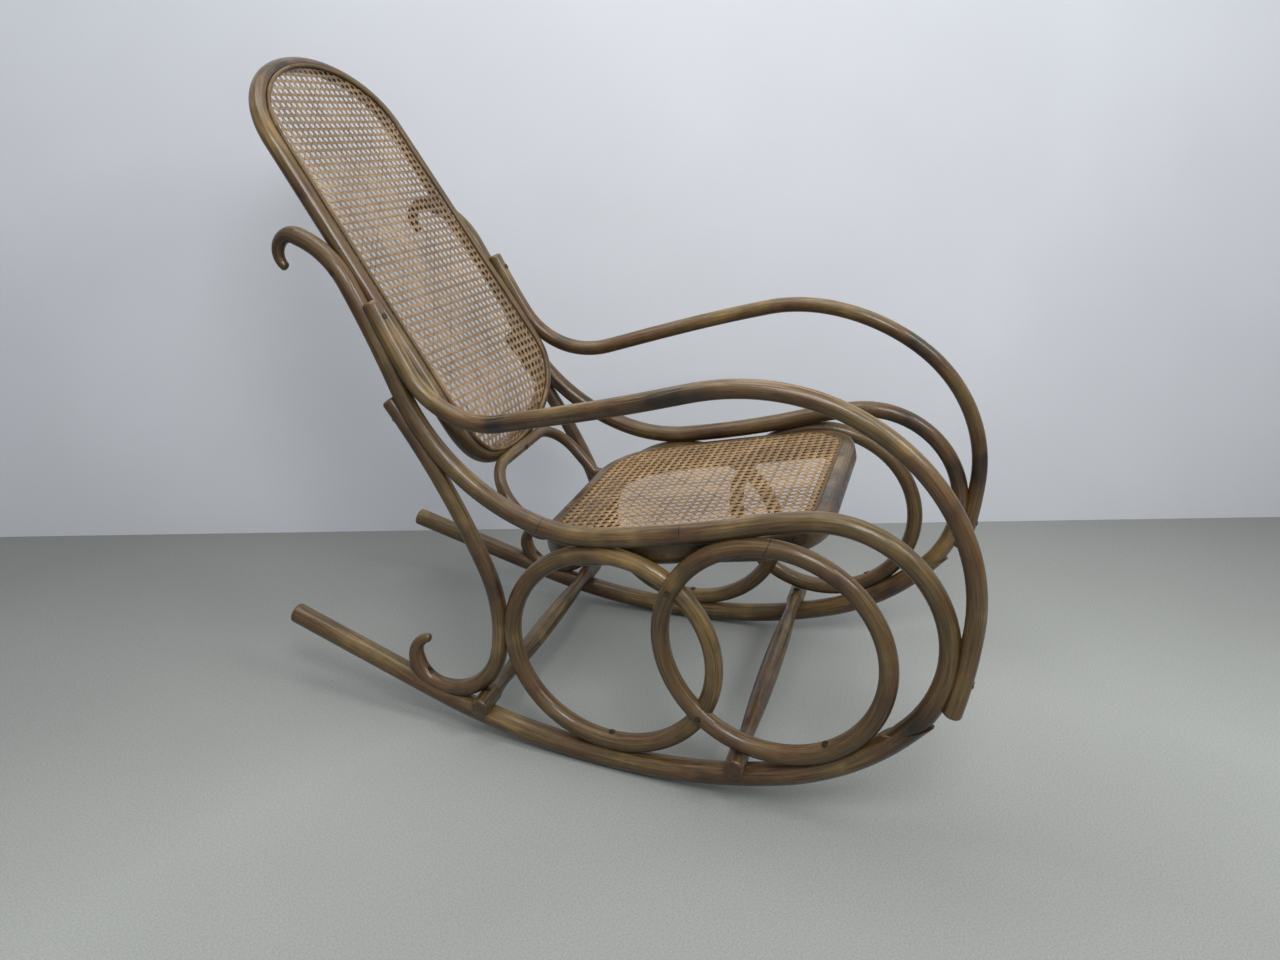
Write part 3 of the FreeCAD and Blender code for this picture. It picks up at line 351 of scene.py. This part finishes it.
def screw_metal():
    """Old steel: browned and dull, brighter where it is rubbed."""
    material, tree, shader = new_material("screw_steel", Metallic=0.85)
    rust = noise(tree, add(tree, "TexCoord").outputs["Object"], RUST)
    tree.links.new(ramp(tree, rust, RUST_COLOURS), shader.inputs["Base Color"])
    tree.links.new(ramp(tree, rust, RUST_ROUGHNESS), shader.inputs["Roughness"])
    tree.links.new(bump(tree, rust, RUST_RELIEF), shader.inputs["Normal"])
    return material


# Woven cane


def line_cuts(outline, point, direction):
    """Where a straight line crosses a closed outline, as pairs of distances along the line."""
    cuts = []
    side = Vector((-direction.y, direction.x))
    for first, second in zip(outline, outline[1:] + outline[:1]):
        low, high = (first - point).dot(side), (second - point).dot(side)
        if (low < 0) != (high < 0):
            share = low / (low - high)
            cuts.append((first + (second - first) * share - point).dot(direction))
    cuts.sort()
    return zip(cuts[::2], cuts[1::2])


def strand_mesh(centres, sides, ups, width):
    """Vertices and faces of one flat strand with a rounded face and closed ends."""
    vertices, faces = [], []
    for centre, side, up in zip(centres, sides, ups):
        for across, lift in STRAND_SECTION:
            vertices.append(centre + side * (across * width) + up * (lift * STRAND_THICKNESS))
    count = len(STRAND_SECTION)
    for row in range(len(centres) - 1):
        for corner in range(count):
            after = (corner + 1) % count
            low, high = row * count, (row + 1) * count
            faces.append((low + corner, high + corner, high + after, low + after))
    last = (len(centres) - 1) * count
    faces.append(tuple(range(count)))
    faces.append(tuple(last + corner for corner in reversed(range(count))))
    return vertices, faces


def across_phase(place):
    return 2 * math.pi * place.x / CANE_PITCH


def upright_lift(place, offset):
    """The two strands of a pair lie apart in height, and change over between the rows."""
    return math.copysign(WEAVE_LIFT, offset) * math.cos(2 * math.pi * place.y / CANE_PITCH)


def row_lift(place, offset):
    """A row passes over one upright of a pair and under the other."""
    return -WEAVE_LIFT * math.sin(across_phase(place))


def rising_lift(place, offset):
    return -DIAGONAL_LIFT * math.cos(across_phase(place))


def falling_lift(place, offset):
    return DIAGONAL_LIFT * math.cos(across_phase(place))


# A weave has a surface and the outline on it. A family is all the strands that run one way.
# The diagonals lie halfway between the crossings, so that the holes have eight sides.
Weave = namedtuple("Weave", "surface outline")
Family = namedtuple("Family", "name heading spacing offsets width lift")
HALFWAY = (DIAGONAL_SPACING / 2,)
FAMILIES = [
    Family("uprights", 90.0, CANE_PITCH, (-UPRIGHT_PAIR, UPRIGHT_PAIR), UPRIGHT_WIDTH, upright_lift),
    Family("rows", 0.0, CANE_PITCH, (-ROW_PAIR, ROW_PAIR), ROW_WIDTH, row_lift),
    Family("rising", 45.0, DIAGONAL_SPACING, HALFWAY, DIAGONAL_WIDTH, rising_lift),
    Family("falling", 135.0, DIAGONAL_SPACING, HALFWAY, DIAGONAL_WIDTH, falling_lift),
]


def weave_strands(weave, family, direction, side):
    """Centre places of each strand of one family, in flat coordinates, with its offset."""
    reaches = [corner.dot(side) for corner in weave.outline]
    first = math.floor(min(reaches) / family.spacing)
    last = math.ceil(max(reaches) / family.spacing)
    step = CANE_PITCH / STEPS_IN_PITCH
    for index in range(first, last + 1):
        for offset in family.offsets:
            point = side * (index * family.spacing + offset)
            for start, end in line_cuts(weave.outline, point, direction):
                count = max(2, round((end - start) / step))
                places = [point + direction * (start + (end - start) * share / count)
                          for share in range(count + 1)]
                yield places, offset


def woven_piece(name, weave, family):
    """All strands of one family in one piece, bent over and under the others."""
    heading = math.radians(family.heading)
    direction = Vector((math.cos(heading), math.sin(heading)))
    side = Vector((-direction.y, direction.x))
    vertices, faces = [], []
    for places, offset in weave_strands(weave, family, direction, side):
        points = [weave.surface(place, family.lift(place, offset)) for place in places]
        sides, ups = [], []
        for place in places:
            flat = weave.surface(place, 0.0)
            sides.append((weave.surface(place + side * MM, 0.0) - flat).normalized())
            ups.append((weave.surface(place, MM) - flat).normalized())
        strand_vertices, strand_faces = strand_mesh(points, sides, ups, family.width)
        base = len(vertices)
        vertices += strand_vertices
        faces += [tuple(base + corner for corner in face) for face in strand_faces]
    mesh = bpy.data.meshes.new(name)
    mesh.from_pydata(vertices, [], faces)
    mesh.shade_smooth()
    piece = bpy.data.objects.new(name, mesh)
    bpy.context.scene.collection.objects.link(piece)
    return piece


def turned(place, angle):
    cosine, sine = math.cos(angle), math.sin(angle)
    return Vector((cosine * place.x - sine * place.y, sine * place.x + cosine * place.y))


def quarter_turn():
    """Angles from 0 to a right angle, for a round corner of an outline."""
    return [step / OUTLINE_STEPS * math.pi / 2 for step in range(OUTLINE_STEPS + 1)]


# The back's flat coordinates are the distance across and the distance up along the hoop's profile.

BEND_LENGTH = HOOP_BEND_RADIUS * HOOP_LEAN
BEND_END = HOOP_BEND_START + HOOP_BEND_RADIUS * math.sin(HOOP_LEAN)
hoop_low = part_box("back_hoop")[0]
HOOP_FOOT = Vector((0.0, hoop_low.y + HOOP_ROD / 2, hoop_low.z + HOOP_ROD / 2))


def back_surface(place, lift):
    """Point of the back's cane, bent from upright to leaning as the hoop is."""
    place = turned(place, BACK_WEAVE_TURN)
    length = place.y
    lean = min(max((length - HOOP_BEND_START) / HOOP_BEND_RADIUS, 0.0), HOOP_LEAN)
    beyond = max(length - HOOP_BEND_START - BEND_LENGTH, 0.0)
    before = min(length, HOOP_BEND_START)
    along = HOOP_BEND_RADIUS * (1 - math.cos(lean)) + beyond * math.sin(HOOP_LEAN)
    height = before + HOOP_BEND_RADIUS * math.sin(lean) + beyond * math.cos(HOOP_LEAN)
    out = BACK_CANE_FORWARD + lift
    return HOOP_FOOT + Vector((place.x, along - out * math.cos(lean), height + out * math.sin(lean)))


def back_length(height):
    """Distance along the profile to a height above the hoop's lowest point."""
    if height <= HOOP_BEND_START:
        return height
    if height <= BEND_END:
        bent = math.asin((height - HOOP_BEND_START) / HOOP_BEND_RADIUS)
        return HOOP_BEND_START + HOOP_BEND_RADIUS * bent
    return HOOP_BEND_START + BEND_LENGTH + (height - BEND_END) / math.cos(HOOP_LEAN)


def back_half_width(height):
    fall = HOOP_TAPER / (HOOP_HEIGHT - HOOP_HIGH_RISE - HOOP_LOW_RISE)
    return HOOP_HOLD_WIDTH - fall * (height - HOOP_HOLD)


def back_outline(inset):
    """Edge of the back's cane: two elliptic curves and the straight sides between them."""
    high_start = HOOP_HEIGHT - HOOP_HIGH_RISE
    right = []
    for angle in quarter_turn():
        across = (back_half_width(HOOP_LOW_RISE) - inset) * math.sin(angle)
        height = HOOP_LOW_RISE - (HOOP_LOW_RISE - inset) * math.cos(angle)
        right.append(Vector((across, back_length(height))))
    for angle in quarter_turn():
        across = (back_half_width(high_start) - inset) * math.cos(angle)
        height = high_start + (HOOP_HIGH_RISE - inset * math.cos(HOOP_LEAN)) * math.sin(angle)
        right.append(Vector((across, back_length(height))))
    left = [Vector((-corner.x, corner.y)) for corner in reversed(right[1:-1])]
    return [turned(corner, -BACK_WEAVE_TURN) for corner in right + left]


# The seat's flat coordinates are the distance across and the distance along its slope.

seat_low, seat_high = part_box("seat_cane")
CANE_FRONT = SEAT_FRONT - SEAT_CANE_INSET
SEAT_ORIGIN = Vector((
    0.0,
    seat_low.y + CANE_FRONT * math.cos(SEAT_SLOPE),
    seat_high.z - CANE_FRONT * math.sin(SEAT_SLOPE) - SEAT_CANE_THICKNESS * math.cos(SEAT_SLOPE),
))


def seat_surface(place, lift):
    """Point of the seat's cane, which lies on the frame's sloping top."""
    out = SEAT_CANE_THICKNESS / 2 + lift
    return SEAT_ORIGIN + Vector((
        place.x,
        place.y * math.cos(SEAT_SLOPE) + out * math.sin(SEAT_SLOPE),
        out * math.cos(SEAT_SLOPE) - place.y * math.sin(SEAT_SLOPE),
    ))


def seat_outline(inset):
    """Edge of the seat's cane: four sides with round corners, wider in front."""
    def half_width(along):
        return SEAT_HALF_WIDTH - math.tan(SEAT_TOE) * math.cos(SEAT_SLOPE) * along - inset

    def right_corner(end, radius, way):
        """Round corner from the end to the side, where way is -1 in front and 1 at the back."""
        along = end - way * radius
        across = half_width(along) - radius
        return [Vector((across + radius * math.sin(angle), along + way * radius * math.cos(angle)))
                for angle in quarter_turn()]

    front = right_corner(-SEAT_FRONT + inset, SEAT_FRONT_RADIUS - inset, -1)
    back = right_corner(SEAT_BACK - inset, SEAT_BACK_RADIUS - inset, 1)
    right = front + back[::-1]
    left = [Vector((-corner.x, corner.y)) for corner in reversed(right)]
    return right + left


# Finishes

SIDE_TOE = math.radians(2.8)
LEFT_PLANE = (math.cos(SIDE_TOE), math.sin(SIDE_TOE), 0.0)
RIGHT_PLANE = (math.cos(SIDE_TOE), -math.sin(SIDE_TOE), 0.0)
BACK_PLANE = (0.0, -math.cos(HOOP_LEAN), math.sin(HOOP_LEAN))
ARCH_PLANE = (0.0, 1.0, 0.0)
SEAT_PLANE = (0.0, math.sin(SEAT_SLOPE), math.cos(SEAT_SLOPE))
STRETCHER_STRETCH = (14.0, 260.0, 260.0)
ARM_WEAR = 0.75
ARM_TONE = 1.12
HOOP_WEAR = 0.5
ARCH_TONE = 0.8
SEAT_TONE = 0.85
STRETCHER_TONE = 0.72
NO_GLOSS = 0.0

# Glued joints in the rail and in the front ring, and a plugged hole in that ring, on the right side.
JOINT_REACH = 16 * MM
RIGHT_JOINTS = [
    Seam(Vector((-0.2217, 0.0303, 0.3549)), Vector((0.0, 1.0, 0.35)), JOINT_REACH),
    Seam(Vector((-0.2315, -0.1692, 0.3857)), Vector((0.0, 1.0, -0.3)), JOINT_REACH),
    Seam(Vector((-0.2374, -0.2912, 0.3808)), Vector((0.0, 1.0, 0.4)), JOINT_REACH),
]
RIGHT_PLUGS = [Plug(Vector((-0.2336, -0.2133, 0.3478)), 5 * MM)]


def other_side(point):
    return Vector((-point.x, point.y, point.z))


LEFT_JOINTS = [joint._replace(point=other_side(joint.point)) for joint in RIGHT_JOINTS]
LEFT_PLUGS = [plug._replace(middle=other_side(plug.middle)) for plug in RIGHT_PLUGS]


def paint(node, material):
    """Gives a node of the model its finish."""
    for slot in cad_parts[node].material_slots:
        slot.material = material


def paint_side(side, plane, joints, plugs):
    """Finishes the bent rods of one side."""
    side_wood = wood("bentwood_" + side, bent_in(plane), seams=joints, plugs=plugs)
    for rod in ("side_bend", "rocker", "rear_strut", "rear_ring", "front_ring"):
        paint("%s_%s" % (rod, side), side_wood)
    paint("armrest_" + side, wood("arm_wood_" + side, bent_in(plane), worn=ARM_WEAR, tone=ARM_TONE))


paint_side("left", LEFT_PLANE, LEFT_JOINTS, LEFT_PLUGS)
paint_side("right", RIGHT_PLANE, RIGHT_JOINTS, RIGHT_PLUGS)
paint("back_hoop", wood("hoop_wood", bent_in(BACK_PLANE), worn=HOOP_WEAR))
paint("back_arch", wood("arch_wood", bent_in(ARCH_PLANE), tone=ARCH_TONE))
paint("seat_frame", wood("seat_wood", bent_in(SEAT_PLANE), tone=SEAT_TONE))
stretcher_wood = wood("stretcher_wood", turned_with(STRETCHER_STRETCH), tone=STRETCHER_TONE)
for stretcher in ("rear_stretcher", "front_stretcher"):
    paint(stretcher, stretcher_wood)

metal = screw_metal()
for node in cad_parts:
    if node.endswith(("_screws", "_screw")):
        paint(node, metal)

seat_cane_finish = cane("seat_cane_rattan", linear(202, 168, 123), linear(144, 110, 70))
back_cane_finish = cane("back_cane_rattan", linear(182, 154, 120), linear(136, 108, 78))
binding_finish = cane("binding_rattan", linear(128, 104, 72), linear(98, 77, 50), NO_GLOSS)
for node in ("seat_binding", "back_binding"):
    paint(node, binding_finish)

weaves = {
    "seat_cane": (Weave(seat_surface, seat_outline(SEAT_CANE_INSET)), seat_cane_finish),
    "back_cane": (Weave(back_surface, back_outline(BACK_CANE_INSET)), back_cane_finish),
}
for node, (weave, finish) in weaves.items():
    for family in FAMILIES:
        strands = woven_piece("%s_%s" % (node, family.name), weave, family)
        strands.data.materials.append(finish)
        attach(strands, "root")
        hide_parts(node)


# Stage, light and camera

# The paint carries a painted pool of light: it is brightest round one point, which is in the sheet's own
# coordinates, and darker away from it. Its fall gives shares of the tone at distances from there, in
# metres.
StagePaintAndLight = namedtuple("StagePaintAndLight", "name tone speckle lit fall")
# On the floor, the rise to 1.1 at 1.05 m is painted light that thins the chair's shadow beneath it.
FLOOR_PAINT_AND_LIGHT = StagePaintAndLight(
    "floor_grey", linear(166, 168, 163), 0.16, (-0.9, 5.4, 0.0),
    ((0.3, 0.98), (0.7, 0.94), (1.05, 1.1), (1.5, 0.87), (2.0, 0.68), (3.5, 0.64)))
WALL_PAINT_AND_LIGHT = StagePaintAndLight(
    "wall_grey", linear(236, 239, 245), 0.01, (-0.2, 1.0, 0.0),
    ((0.4, 1.0), (1.1, 0.95), (1.35, 0.87), (1.6, 0.83), (2.2, 0.72)))
PAINTED_LIGHT_REACH = 4.0
CLOUDS = Noise(1.6, 3.0, 0.55)
CLOUD_SHADES = ((0.3, 0.96), (0.7, 1.03))
GRIT = Noise(380.0, 3.0, 0.7)

FLOOR_WIDTH = 12.0
WALL_PLACE = Vector((0.528, 0.134, 0.0))
WALL_TURN = math.radians(-69.5)
WALL_WIDTH = 9.0
WALL_HEIGHT = 4.0

Lamp = namedtuple("Lamp", "name place target width power")
LAMPS = [
    Lamp("left_light", (-1.7, -0.9, 2.4), (0.0, 0.0, 0.4), 0.9, 26.0),
    Lamp("right_light", (-0.6, -2.2, 2.3), (0.0, 0.0, 0.3), 0.9, 21.0),
    Lamp("ceiling_light", (0.0, 0.3, 2.8), (0.0, 0.0, 0.0), 1.6, 22.0),
]
WORLD_COLOUR = linear(190, 193, 198)
WORLD_STRENGTH = 0.78


def stage_material(paint_and_light):
    """Painted wall or floor with a painted pool of light, brightest at one point and darker away from
    it, and a fine grit.
    """
    name, tone, speckle, lit, fall = paint_and_light
    material, tree, shader = new_material(name, Specular_IOR_Level=0.2, Roughness=0.85)
    place = add(tree, "TexCoord").outputs["Object"]
    away = add(tree, "VectorMath", {0: place, 1: lit}, operation="DISTANCE").outputs["Value"]
    scaled = math_node(tree, "DIVIDE", away, PAINTED_LIGHT_REACH)
    stops = [(distance / PAINTED_LIGHT_REACH, share) for distance, share in fall]
    # Painted light: the tone is multiplied by the pool's share at this distance.
    colour = mix(tree, 1.0, tone, ramp(tree, scaled, stops), "MULTIPLY")
    colour = shaded(tree, colour, noise(tree, place, CLOUDS), CLOUD_SHADES)
    grit_shades = ((0.3, 1 - speckle), (0.7, 1 + speckle))
    colour = shaded(tree, colour, noise(tree, place, GRIT), grit_shades)
    tree.links.new(colour, shader.inputs["Base Color"])
    return material


def see_through_from_behind(material):
    """Lets a wall be seen only from inside the room."""
    tree = material.node_tree
    shader = tree.nodes["Principled BSDF"]
    back = add(tree, "NewGeometry").outputs["Backfacing"]
    clear = add(tree, "BsdfTransparent").outputs[0]
    mixed = add(tree, "MixShader", {0: back, 1: shader.outputs[0], 2: clear})
    tree.links.new(mixed.outputs[0], tree.nodes["Material Output"].inputs["Surface"])


def sheet(name, width, height, material):
    """A flat sheet in its own XY plane, with the middle of one edge at the origin."""
    mesh = bpy.data.meshes.new(name)
    half = width / 2
    corners = [(-half, 0, 0), (half, 0, 0), (half, height, 0), (-half, height, 0)]
    mesh.from_pydata(corners, [], [(0, 1, 2, 3)])
    mesh.materials.append(material)
    made = bpy.data.objects.new(name, mesh)
    bpy.context.scene.collection.objects.link(made)
    return made


def area_light(lamp):
    """A square lamp that faces its target."""
    data = bpy.data.lights.new(lamp.name, "AREA")
    data.shape = "SQUARE"
    data.size = lamp.width
    data.energy = lamp.power
    light = bpy.data.objects.new(lamp.name, data)
    bpy.context.scene.collection.objects.link(light)
    light.location = lamp.place
    towards = Vector(lamp.target) - Vector(lamp.place)
    light.rotation_euler = towards.to_track_quat("-Z", "Y").to_euler()


ground = sheet("floor", FLOOR_WIDTH, FLOOR_WIDTH, stage_material(FLOOR_PAINT_AND_LIGHT))
ground.location = (0.0, -FLOOR_WIDTH / 2, 0.0)

wall_material = stage_material(WALL_PAINT_AND_LIGHT)
see_through_from_behind(wall_material)
wall = sheet("wall", WALL_WIDTH, WALL_HEIGHT, wall_material)
wall.rotation_euler = Euler((math.pi / 2, 0.0, WALL_TURN))
wall.location = WALL_PLACE

for lamp in LAMPS:
    area_light(lamp)

world = bpy.data.worlds.new("studio")
world.use_nodes = True
background = world.node_tree.nodes["Background"]
background.inputs["Color"].default_value = WORLD_COLOUR
background.inputs["Strength"].default_value = WORLD_STRENGTH
bpy.context.scene.world = world
bpy.context.scene.view_settings.view_transform = "Standard"

camera_data = bpy.data.cameras.new("camera")
camera_data.lens = CAMERA_LENS
camera_data.shift_y = CAMERA_RISE
camera = bpy.data.objects.new("camera", camera_data)
bpy.context.scene.collection.objects.link(camera)
camera.location = CAMERA_PLACE
camera.rotation_euler = Euler((CAMERA_PITCH, 0.0, CAMERA_TURN))
bpy.context.scene.camera = camera
